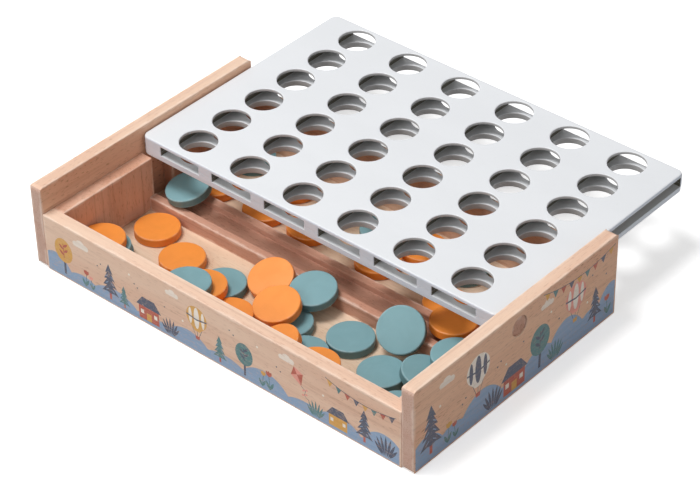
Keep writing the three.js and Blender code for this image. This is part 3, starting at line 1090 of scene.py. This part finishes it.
class GAME_OT_pivot_pins(bpy.types.Operator):
    """Turns the two pins on which the board swings"""

    bl_idname = "game.pivot_pins"
    bl_label = "Pivot pins"

    def execute(self, context):
        chamfer = context.scene.game_case.pin_chamfer
        shoulder_arris, end_arris = 0.3 * MM, 0.5 * MM
        for side, node in PINS.items():
            low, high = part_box(node)
            head, shank = (high.z - low.z) / 2, shank_radius(node)
            outer, inner = outer_inner(low, high, side)
            shoulder = outer - side * PIN_HEAD_LENGTH
            steps = [(outer, 0.0), (outer, head - chamfer * 1.02)]
            for angle in (math.pi / 6, math.pi / 3, math.pi / 2):
                drop, out = chamfer * (1 - math.cos(angle)), chamfer * (1 - math.sin(angle))
                steps.append((outer - side * drop, head - out))
            steps += [
                (shoulder + side * shoulder_arris, head), (shoulder, head - shoulder_arris),
                (shoulder, shank), (inner + side * end_arris, shank), (inner, shank - end_arris),
                (inner, 0.0),
            ]
            pin = turned_body("dressed_" + node, (low + high) / 2, steps, PIN_SIDES, PIN_WELD)
            tones, seat = wood_tones("inner"), (0.2, 0.9 * side, 0.3)
            dress_in_wood(pin, node, "beech_" + node, tones, "X", seat, PIN_GRAIN)
        return {"FINISHED"}


# Board, with its sizes in millimetres


ROWS = COLUMNS = 6
SHELL_CORNER = 5
# The ribs stand back from the plate's edge and reach into the plate, so that no faces coincide.
RIB_FLUSH = 0.04
RIB_SUNK = 0.4
RIB_CORNER = 0.5
RIB_FRONT_CORNER, RIB_BACK_CORNER = 5, 4
GROOVE_CORNER = 0.3
GROOVE_BACK_CORNER = 0.1
EDGE_ZONE = 1.2
WINDOW_WELD = 0.008 * MM
# Painted shade kept on each face of a shell, as shares of the moulding's colour: none on the plates, cooler
# and darker on the outer edges, darker on the windows' walls, much darker in the channels.
PLATE_NO_PAINTED_SHADE = (1.0, 1.0, 1.0)
EDGE_PAINTED_SHADE = (0.86, 0.9, 0.97)
WINDOW_PAINTED_SHADE = (0.72, 0.7, 0.68)
CHANNEL_PAINTED_SHADE = (0.17, 0.155, 0.115)
SCUFF_TONE = (0.52, 0.55, 0.58)
DUST_TONE = (0.62, 0.6, 0.56)
# Repeats of the moulding's patterns per metre.
FLOW_MARKS = (14, 26, 60)
FINE_TEXTURE = 2600
MOULDING_SCUFFS = (900, 60, 400)
MOULDING_DUST = 420


def moulding_finish(name, tone):
    """Satin moulded plastic: a fine even texture, faint flow marks and light scuffs, and a painted shade
    kept on the faces: cooler and darker on the outer edges, darker on the windows' walls and much darker in
    the channels."""
    w = Finish(name)
    flow = w.reach(w.noise(FLOW_MARKS, 3, 0.5, 0.6), 0.3, 0.7)
    texture = w.noise(FINE_TEXTURE, 2, 0.6)
    scuffs = w.reach(w.noise(MOULDING_SCUFFS, 2, 0.7, 1.2), 0.7, 0.76)
    dust = w.reach(w.noise(MOULDING_DUST, 2, 0.6), 0.66, 0.74)
    shade = w.blend(flow, [part * 0.985 for part in tone], [min(part * 1.01, 1) for part in tone])
    shade = w.blend(w.product(scuffs, 0.1), shade, SCUFF_TONE)
    shade = w.blend(w.product(dust, 0.12), shade, DUST_TONE)
    # Painted shade: each face's stored share darkens the moulding on the outer edges, the windows' walls and
    # in the channels.
    shade = w.shade(shade, w.attribute("face_tone", "Color"))
    roughness = w.math("ADD", w.reach(flow, 0, 1, 0.36, 0.46), w.product(scuffs, 0.12))
    height = w.math("ADD", texture, w.product(scuffs, -0.8))
    return w.close_gloss(shade, roughness, height, 0.02 * MM, 0.5, 0.5)


def window_recipe():
    """Sets a grid of rounded window walls into a plate that has the holes for them."""
    t = Recipe("Window grid", {
        "Plate": ("Geometry", None), "Columns": ("Int", COLUMNS), "Rows": ("Int", ROWS),
        "Column Pitch": ("Float", 0.044), "Row Pitch": ("Float", 0.03),
        "Window Radius": ("Float", 0.013), "Window Sides": ("Int", 48),
        "Outer Level": ("Float", 0.0), "Inner Level": ("Float", 0.0),
        "Outer Arris": ("Float", 0.001), "Inner Arris": ("Float", 0.0005),
        "Middle": ("Vector", None), "Moulding": ("Material", None),
    })
    g = t.given
    outer, inner = g["Outer Level"], g["Inner Level"]
    corners = [(g["Outer Arris"], outer), (0.0, outer), (0.0, inner), (g["Inner Arris"], inner)]
    index = t.lay("GeometryNodeInputIndex")
    is_inner = t.lay("FunctionNodeCompare", {2: index, 3: 1}, data_type="INT", operation="GREATER_THAN")
    arrises = {0: is_inner, 1: g["Outer Arris"], 2: g["Inner Arris"]}
    radius = t.lay("GeometryNodeSwitch", arrises, input_type="FLOAT")
    wall = t.turned(corners, g["Window Sides"], g["Window Radius"], radius)
    grid = t.lay("GeometryNodeMeshGrid", {
        "Size X": t.product(t.math("SUBTRACT", g["Columns"], 1.0), g["Column Pitch"]),
        "Size Y": t.product(t.math("SUBTRACT", g["Rows"], 1.0), g["Row Pitch"]),
        "Vertices X": g["Columns"], "Vertices Y": g["Rows"],
    })
    placed = t.moved(grid, Translation=g["Middle"])
    walls = t.real(t.lay("GeometryNodeInstanceOnPoints", {"Points": placed, "Instance": wall}))
    both = t.node("GeometryNodeJoinGeometry")
    for part in (walls, g["Plate"]):
        t.tree.links.new(part, both.inputs[0])
    return t.finish(t.welded(both.outputs[0], WINDOW_WELD), g["Moulding"])


class Form:
    """Points and faces of a shell while it is made, in millimetres."""

    def __init__(self):
        self.points = []
        self.faces = []

    def ring(self, outline, level):
        first = len(self.points)
        self.points.extend((u, v, level) for u, v in outline)
        return list(range(first, len(self.points)))

    def walls(self, rings):
        """Faces between each ring and the next."""
        for low, high in zip(rings, rings[1:]):
            for index in range(len(low)):
                after = (index + 1) % len(low)
                self.faces.append((low[index], low[after], high[after], high[index]))

    def cap(self, outlines, level, kept=None):
        """A flat face over the outlines. Kept tells for a place whether the face goes on there."""
        points, edges = [], []
        for outline in outlines:
            edges.extend(closed_edges(len(points), len(outline)))
            points.extend(Vector(place) for place in outline)
        places, _edges, cells = delaunay_2d_cdt(points, edges, [], 1, CDT_SLACK)[:3]
        first = len(self.points)
        self.points.extend((place.x, place.y, level) for place in places)
        for corners in cells:
            if kept is None or kept(*middle_of(places, corners)):
                self.faces.append(tuple(first + i for i in corners))

    def prism(self, outline, start, stop, arris, up):
        """A closed prism with a rounded edge where it starts. Up is 1 or -1."""
        edge = [(inset(outline, arris), 0.0), (inset(outline, arris * 0.3), arris * 0.3), (outline, arris)]
        rings = [self.ring(loop, start + up * rise) for loop, rise in edge]
        self.walls([*rings, self.ring(outline, stop)])
        self.cap([edge[0][0]], start)
        self.cap([outline], stop)

    def mesh(self, name):
        mesh = bpy.data.meshes.new(name)
        mesh.from_pydata([Vector(point) * MM for point in self.points], [], self.faces)
        return mesh


def inset(outline, step):
    """Moves each side of a counter-clockwise outline inwards."""
    moved = []
    count = len(outline)
    for index in range(count):
        here = Vector(outline[index])
        before = (here - Vector(outline[index - 1])).normalized()
        after = (Vector(outline[(index + 1) % count]) - here).normalized()
        first, second = Vector((-before.y, before.x)), Vector((-after.y, after.x))
        corner = (first + second) / (1 + first.dot(second))
        moved.append(here + corner * step)
    return moved


def round_outline(left, right, front, back, radius, steps=6):
    corners = [(left, front, radius), (right, front, radius), (right, back, radius), (left, back, radius)]
    return rounded_corners(corners, steps)


def node_points(node):
    """The points of a CAD node in millimetres."""
    return np.array([v.co[:] for v in frame["nodes"][node].data.vertices]) / MM


def board_sizes():
    """The board's inner sizes, from the openings of the record and the CAD nodes."""
    openings = {o["name"]: o["box_m"] for o in frame["record"]["physics"]["openings"]}

    def middle(name, axis):
        return sum(corner[axis] for corner in openings[name]) / 2 / MM

    middles = [middle(f"board_column_{number}", 0) for number in range(1, COLUMNS + 1)]
    first_row, last_row = middle("front_window_1", 1), middle("rear_window_1", 1)
    top = node_points("board_top_shell")
    levels = sorted(set(np.round(top[:, 2], 2)))
    lower = sorted(set(np.round(node_points("board_bottom_shell")[:, 2], 2)))
    near = NEAR / MM
    mouth = top[np.abs(top[:, 1] - top[:, 1].min()) < near]
    from_middle = np.abs(mouth[:, 0] - middles[3])
    half_channel = np.round(from_middle, 2).min()
    groove_from = middles[-1] + half_channel + 1
    roof = top[(np.abs(top[:, 2] - levels[1]) < near) & (top[:, 0] > groove_from)]
    rim = top[np.abs(top[:, 2] - levels[-1]) < near]
    return {
        "middles": middles, "column": middles[1] - middles[0],
        "first_row": first_row, "row": (last_row - first_row) / (ROWS - 1),
        "window": np.hypot(rim[:, 0] - middles[3], rim[:, 1] - first_row).min(),
        "top_plate": levels[-1] - levels[-2], "bottom_plate": lower[-2] - lower[0],
        "half_channel": half_channel, "groove_wall": roof[:, 0].min(),
        "groove_front": roof[:, 1].min(), "groove_rear": roof[:, 1].max(),
    }


class GAME_OT_board(bpy.types.Operator):
    """Makes the two shells of the board with their windows, channels and side grooves"""

    bl_idname = "game.board"
    bl_label = "Board"

    def execute(self, context):
        board = context.scene.game_board
        finish = moulding_finish("moulded_board", tuple(board.moulding))
        windows = window_recipe()
        sizes = board_sizes()
        for node, plate, up in (
            ("board_bottom_shell", sizes["bottom_plate"], -1), ("board_top_shell", sizes["top_plate"], 1),
        ):
            low, high = (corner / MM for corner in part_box(node))
            outer, seam = (high.z, low.z) if up > 0 else (low.z, high.z)
            inner = outer - up * plate
            shell = linked("dressed_" + node, self.plate_mesh(board, sizes, low, high, outer, inner))
            middle_row = sizes["first_row"] + (ROWS - 1) / 2 * sizes["row"]
            run_recipe(shell, windows, {
                "Columns": COLUMNS, "Rows": ROWS,
                "Column Pitch": sizes["column"] * MM, "Row Pitch": sizes["row"] * MM,
                "Window Radius": sizes["window"] * MM, "Window Sides": board.window_sides,
                "Outer Level": outer * MM, "Inner Level": inner * MM,
                "Outer Arris": board.window_arris, "Inner Arris": board.inner_arris,
                "Middle": (0.0, middle_row * MM, 0.0), "Moulding": finish,
            })
            ribs = self.rib_mesh(board, sizes, low, high, seam, inner, up)
            tidied(shell.data, joined=ribs)
            self.tone_faces(shell.data, low, high, seam, inner)
            stand_for(shell, node, finish)
        return {"FINISHED"}

    def tone_faces(self, mesh, low, high, seam, inner):
        """Keeps a painted shade on each face: none on the plates, cooler and darker on the outer edges,
        darker on the windows' walls, and much darker within the channels.
        """
        values = []
        for face in mesh.polygons:
            x, y, z = face.center / MM
            upright = abs(face.normal.z) < 0.7
            deep = (z - inner) * (seam - inner) > 0 or abs(z - inner) < 0.02
            outside = abs(x) > high.x - EDGE_ZONE or not low.y + EDGE_ZONE <= y <= high.y - EDGE_ZONE
            tone = PLATE_NO_PAINTED_SHADE
            if outside and upright:
                tone = EDGE_PAINTED_SHADE
            elif deep and not outside and (upright or face.normal.z < 0):
                tone = CHANNEL_PAINTED_SHADE
            elif upright:
                tone = WINDOW_PAINTED_SHADE
            values.extend((*tone, 1.0))
        layer = mesh.attributes.new("face_tone", "FLOAT_COLOR", "FACE")
        layer.data.foreach_set("color", values)

    def plate_mesh(self, board, sizes, low, high, outer, inner):
        """The plate with its rounded outer edge and open holes, to which the window walls are added."""
        arris = board.plate_arris / MM
        down = 1 if outer > inner else -1
        form = Form()
        full = round_outline(low.x, high.x, low.y, high.y, SHELL_CORNER)
        rings = [form.ring(full, inner)]
        steps = 4
        for step in range(steps + 1):
            angle = math.pi / 2 * step / steps
            drop, go_in = arris * (1 - math.sin(angle)), arris * (1 - math.cos(angle))
            sides = (low.x + go_in, high.x - go_in, low.y + go_in, high.y - go_in)
            crown = round_outline(*sides, SHELL_CORNER - go_in)
            rings.append(form.ring(crown, outer - down * drop))
        form.walls(rings)
        rows = [sizes["first_row"] + row * sizes["row"] for row in range(ROWS)]
        centres = [(u, v) for u in sizes["middles"] for v in rows]
        count = board.window_sides
        shrink = math.cos(math.pi / count) - 0.0005

        def pierced(outline, level, radius):
            reach = radius * shrink
            holes = [oval(u, v, radius, radius, count) for u, v in centres]
            form.cap([outline, *holes], level, lambda u, v: all(
                math.hypot(u - cu, v - cv) > reach for cu, cv in centres))

        pierced(crown, outer, sizes["window"] + board.window_arris / MM)
        pierced(full, inner, sizes["window"] + board.inner_arris / MM)
        return form.mesh("plate")

    def rib_mesh(self, board, sizes, low, high, seam, inner, up):
        """The ribs between the channels, and the two outer ribs with the grooves of the pivot pins."""
        form = Form()
        half, middles = sizes["half_channel"], sizes["middles"]
        front, back = low.y + RIB_FLUSH, high.y - RIB_FLUSH
        wall, edge, floor = middles[-1] + half, high.x - RIB_FLUSH, sizes["groove_wall"]
        start, stop = sizes["groove_front"], sizes["groove_rear"]
        right = rounded_corners([
            (wall, front, RIB_CORNER), (edge, front, RIB_FRONT_CORNER), (edge, start, GROOVE_CORNER),
            (floor, start, GROOVE_CORNER), (floor, stop, GROOVE_CORNER),
            (edge, stop, GROOVE_BACK_CORNER), (edge, back, RIB_BACK_CORNER), (wall, back, RIB_CORNER),
        ], steps=5)
        left = [Vector((-u, v)) for u, v in right[::-1]]
        between = [
            round_outline(before + half, after - half, front, back, RIB_CORNER, steps=3)
            for before, after in zip(middles, middles[1:])
        ]
        for outline in (*between, right, left):
            form.prism(outline, seam, inner + up * RIB_SUNK, board.rib_arris / MM, up)
        return tidied(form.mesh("ribs"))


# Discs


DISC_RADIUS = 15 * MM
DISC_THICKNESS = 6 * MM
# Room between a disc's side and the side of the CAD disc.
DISC_SHRINK = 0.005 * MM
# The disc is turned round a circle of this radius, and its middle is then welded shut.
DISC_HUB = 0.002 * MM
DISC_WELD = 0.01 * MM
# Repeats of the lacquer's patterns per metre.
LACQUER_WEAR = 260
LACQUER_CLOUD = 70
LACQUER_PEEL = 1500
LACQUER_SCUFFS = (500, 90, 500)
# Painted shade of each colour's discs round their sides, as shares of the colour.
RIM_PAINTED_SHADES = {"orange": (0.92, 0.78, 0.53), "teal": (0.44, 0.48, 0.48)}


def disc_finish(name, tone, rim_painted_shade):
    """Satin lacquer on a turned disc: a painted shade round its side, and thinner and paler on its edges, a
    paleness that is also a painted highlight.
    """
    w = Finish(name)
    parts = w.node("ShaderNodeSeparateXYZ", {0: w.attribute("turned", "Vector")}).outputs
    flat = w.lay("ShaderNodeCombineXYZ", {0: parts[0], 1: parts[1]})
    out = w.node("ShaderNodeVectorMath", {0: flat}, operation="LENGTH").outputs["Value"]
    from_rim = w.math("SUBTRACT", DISC_RADIUS, out)
    from_face = w.math("SUBTRACT", DISC_THICKNESS / 2, w.math("ABSOLUTE", parts[2]))
    edge = w.math("MAXIMUM", from_rim, from_face)
    # Paler edges: worn, thinner lacquer, and in part a painted highlight along the arris.
    ragged = w.math("ADD", edge, w.reach(w.noise(LACQUER_WEAR, 3, 0.6), 0.3, 0.7, -0.3 * MM, 0.4 * MM))
    worn = w.reach(ragged, 0.2 * MM, 0.8 * MM, 1, 0)
    near_rim = w.reach(from_rim, 0.1 * MM, 0.7 * MM, 1, 0)
    on_side = w.product(near_rim, w.reach(from_face, 0.6 * MM, 1.4 * MM))
    cloud = w.noise(LACQUER_CLOUD, 4, 0.55, 0.5)
    peel = w.noise(LACQUER_PEEL, 2, 0.55)
    scuffs = w.reach(w.noise(LACQUER_SCUFFS, 3, 0.7, 1.6), 0.69, 0.76)
    brighter = [min(part * 1.03, 1) for part in tone]
    duller = [part * 0.95 for part in tone]
    paler = [part + (1 - part) * 0.34 for part in tone]
    darker = [part * share for part, share in zip(tone, rim_painted_shade)]
    colour = w.blend(w.reach(cloud, 0.3, 0.7), brighter, duller)
    # Painted shade round the disc's side.
    colour = w.blend(w.product(on_side, 0.85), colour, darker)
    colour = w.blend(w.product(worn, 0.3), colour, paler)
    colour = w.blend(w.product(scuffs, 0.22), colour, paler)
    roughness = w.math("ADD", w.reach(cloud, 0.3, 0.7, 0.42, 0.52), w.product(scuffs, 0.12))
    height = w.math("SUBTRACT", peel, w.product(scuffs, 0.6))
    return w.close_gloss(colour, roughness, height, 0.03 * MM, 0.45, 0.42)


def disc_recipe():
    """Turns one disc with rounded edges and lays it in its place."""
    t = Recipe("Turned disc", {
        "Blank": ("Geometry", None), "Radius": ("Float", DISC_RADIUS),
        "Thickness": ("Float", DISC_THICKNESS), "Arris": ("Float", 0.001), "Sides": ("Int", 64),
        "Middle": ("Vector", None), "Lean": ("Vector", None), "Lacquer": ("Material", None),
    })
    g = t.given
    half = t.product(g["Thickness"], 0.5)
    under = t.product(half, -1.0)
    corners = [(0.0, under), (g["Radius"], under), (g["Radius"], half), (0.0, half)]
    closed = t.welded(t.turned(corners, g["Sides"], DISC_HUB, g["Arris"]), DISC_WELD)
    stored = {"Geometry": closed, "Name": "turned", "Value": t.lay("GeometryNodeInputPosition")}
    marked = t.lay("GeometryNodeStoreNamedAttribute", stored, data_type="FLOAT_VECTOR", domain="POINT")
    laid = t.moved(marked, Translation=g["Middle"], Rotation=g["Lean"])
    return t.finish(t.real(laid), g["Lacquer"])


def disc_place(node):
    """Middle, axis, radius and thickness of a CAD disc, in metres."""
    mesh = frame["nodes"][node].data
    facing = {}
    for face in mesh.polygons:
        normal = face.normal if face.normal.z > 0 else -face.normal
        key = tuple(round(part, 2) for part in normal)
        entry = facing.setdefault(key, [0.0, Vector((0, 0, 0))])
        entry[0] += face.area
        entry[1] += normal * face.area
    axis = max(facing.values(), key=lambda entry: entry[0])[1].normalized()
    points = np.unique(np.round(np.array([v.co[:] for v in mesh.vertices]), 6), axis=0)
    along = points @ np.array(axis)
    middle = (points.max(0) + points.min(0)) / 2
    middle = Vector(middle) + axis * ((along.max() + along.min()) / 2 - Vector(middle).dot(axis))
    away = points - np.outer(along, np.array(axis))
    centre = np.array(middle) - np.array(axis) * middle.dot(axis)
    radius = np.linalg.norm(away - centre, axis=1).max()
    return middle, axis, radius, along.max() - along.min()


class GAME_OT_discs(bpy.types.Operator):
    """Turns the loose discs and lays them in the tray"""

    bl_idname = "game.discs"
    bl_label = "Discs"

    def execute(self, context):
        settings = context.scene.game_discs
        recipe = disc_recipe()
        # Each lacquer gets the painted shade of its discs' sides.
        lacquers = {
            colour: disc_finish(colour + "_lacquer", tuple(getattr(settings, colour)), shade)
            for colour, shade in RIM_PAINTED_SHADES.items()
        }
        for node in NODES:
            colour = node.split("_")[0]
            if colour not in lacquers:
                continue
            middle, axis, radius, thickness = disc_place(node)
            if abs(radius - DISC_RADIUS) > 1 * MM or abs(thickness - DISC_THICKNESS) > 0.5 * MM:
                raise RuntimeError(f"{node} isn't a disc of the size expected: {radius} {thickness}")
            lean = Vector((0, 0, 1)).rotation_difference(axis).to_euler()
            disc = linked("dressed_" + node, bpy.data.meshes.new(node))
            run_recipe(disc, recipe, {
                "Radius": radius - DISC_SHRINK, "Thickness": thickness,
                "Arris": settings.arris, "Sides": settings.sides,
                "Middle": tuple(middle), "Lean": tuple(lean), "Lacquer": lacquers[colour],
            })
            tidied(disc.data)
            stand_for(disc, node, lacquers[colour])
        return {"FINISHED"}


# Stage


# Place and width of each lamp in metres, by the name of its power setting.
LAMPS = {
    "key": ((-0.62, -0.42, 2.35), 0.9),
    "front": ((-0.45, -2.0, 1.3), 1.4),
    "fill": ((1.7, -0.5, 1.0), 1.6),
}
LAMP_AIM = Vector((0, 0.02, 0.03))
CAMERA_PLACE = (0.824794, -0.897248, 0.956407)
CAMERA_TURN = (52.72980994, 0.93923164, 41.02048135)
IMAGE_WIDTH = 700
HALF_PIXEL = 0.5 / IMAGE_WIDTH
SENSOR_WIDTH = 36
FAR = 50
FLOOR_RADIUS = 6
FLOOR_SIDES = 96
WHITE = (1, 1, 1, 1)


class GAME_OT_stage(bpy.types.Operator):
    """Lays the floor and sets the lamps, the sky and the camera"""

    bl_idname = "game.stage"
    bl_label = "Stage"

    def execute(self, context):
        settings = context.scene.game_stage
        self.floor(settings)
        self.sky(context.scene, settings.sky)
        for name, (place, width) in LAMPS.items():
            self.lamp(name + "_light", getattr(settings, name + "_power"), place, width)
        camera = bpy.data.cameras.new("camera")
        camera.lens = settings.lens
        camera.sensor_width = SENSOR_WIDTH
        camera.shift_x = -HALF_PIXEL
        camera.shift_y = HALF_PIXEL
        camera.clip_end = FAR
        obj = linked("camera", camera)
        obj.location = CAMERA_PLACE
        obj.rotation_euler = [math.radians(angle) for angle in CAMERA_TURN]
        context.scene.camera = obj
        context.scene.view_settings.view_transform = "Standard"
        return {"FINISHED"}

    def floor(self, settings):
        """A pale floor that glows where the camera sees it and throws less light on the case."""
        work = bmesh.new()
        bmesh.ops.create_circle(work, cap_ends=True, segments=FLOOR_SIDES, radius=FLOOR_RADIUS)
        mesh = bpy.data.meshes.new("floor")
        work.to_mesh(mesh)
        work.free()
        floor = linked("floor", mesh)
        w = Finish("pale_floor")
        tone = tuple(settings.floor)
        colour = w.blend(w.reach(w.noise(2, 3, 0.5), 0.3, 0.7), tone, [part * 0.99 for part in tone])
        matt = w.lay("ShaderNodeBsdfDiffuse", {"Color": colour})
        glow = w.lay("ShaderNodeEmission", {"Color": WHITE, "Strength": settings.floor_glow})
        dull = w.lay("ShaderNodeBsdfDiffuse", {"Color": w.brighten(colour, settings.floor_bounce)})
        both = w.lay("ShaderNodeAddShader", {0: matt, 1: glow})
        surface = w.lay("ShaderNodeMixShader", {0: w.seen(), 1: dull, 2: both})
        floor.data.materials.append(w.close(surface))
        floor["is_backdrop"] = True

    def sky(self, scene, strength):
        """Even light from all round, white where the camera sees it."""
        world = bpy.data.worlds.new("soft_sky")
        world.use_nodes = True
        w = Network(world.node_tree)
        level = w.lay("ShaderNodeMapRange", {"Value": w.seen(), "To Min": strength, "To Max": 1.0})
        ground = w.lay("ShaderNodeBackground", {"Color": WHITE, "Strength": level})
        w.node("ShaderNodeOutputWorld", {0: ground})
        scene.world = world

    def lamp(self, name, power, place, width):
        light = bpy.data.lights.new(name, "AREA")
        light.shape = "DISK"
        light.size = width
        light.energy = power
        obj = linked(name, light)
        obj.location = place
        obj.rotation_euler = (LAMP_AIM - Vector(place)).to_track_quat("-Z", "Y").to_euler()


# Panel and run


OPERATORS = (
    GAME_OT_case_panels, GAME_OT_tray, GAME_OT_pivot_pins, GAME_OT_board, GAME_OT_discs, GAME_OT_stage,
)


class GAME_PT_four_in_a_row(bpy.types.Panel):
    """Settings and steps of the game"""

    bl_idname = "GAME_PT_four_in_a_row"
    bl_label = "Four in a row"
    bl_space_type = "VIEW_3D"
    bl_region_type = "UI"
    bl_category = "Four in a row"

    def draw(self, context):
        for operator in OPERATORS:
            self.layout.operator(operator.bl_idname)
        for name, group in SETTINGS.items():
            box = self.layout.box()
            box.label(text=group.__doc__)
            for key in group.__annotations__:
                box.prop(getattr(context.scene, name), key)


def register():
    for group in SETTINGS.values():
        bpy.utils.register_class(group)
    for operator in OPERATORS:
        bpy.utils.register_class(operator)
    bpy.utils.register_class(GAME_PT_four_in_a_row)
    for name, group in SETTINGS.items():
        setattr(bpy.types.Scene, name, PointerProperty(type=group))


def unregister():
    for name in SETTINGS:
        delattr(bpy.types.Scene, name)
    bpy.utils.unregister_class(GAME_PT_four_in_a_row)
    for operator in reversed(OPERATORS):
        bpy.utils.unregister_class(operator)
    for group in reversed(list(SETTINGS.values())):
        bpy.utils.unregister_class(group)


def main():
    register()
    bpy.ops.game.case_panels()
    bpy.ops.game.tray()
    bpy.ops.game.pivot_pins()
    bpy.ops.game.board()
    bpy.ops.game.discs()
    bpy.ops.game.stage()
    plain = lambda box: [list(map(float, corner)) for corner in box]
    {"cad": plain(CAD_BOX), "visual": plain(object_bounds())}


if __name__ == "__main__":
    main()
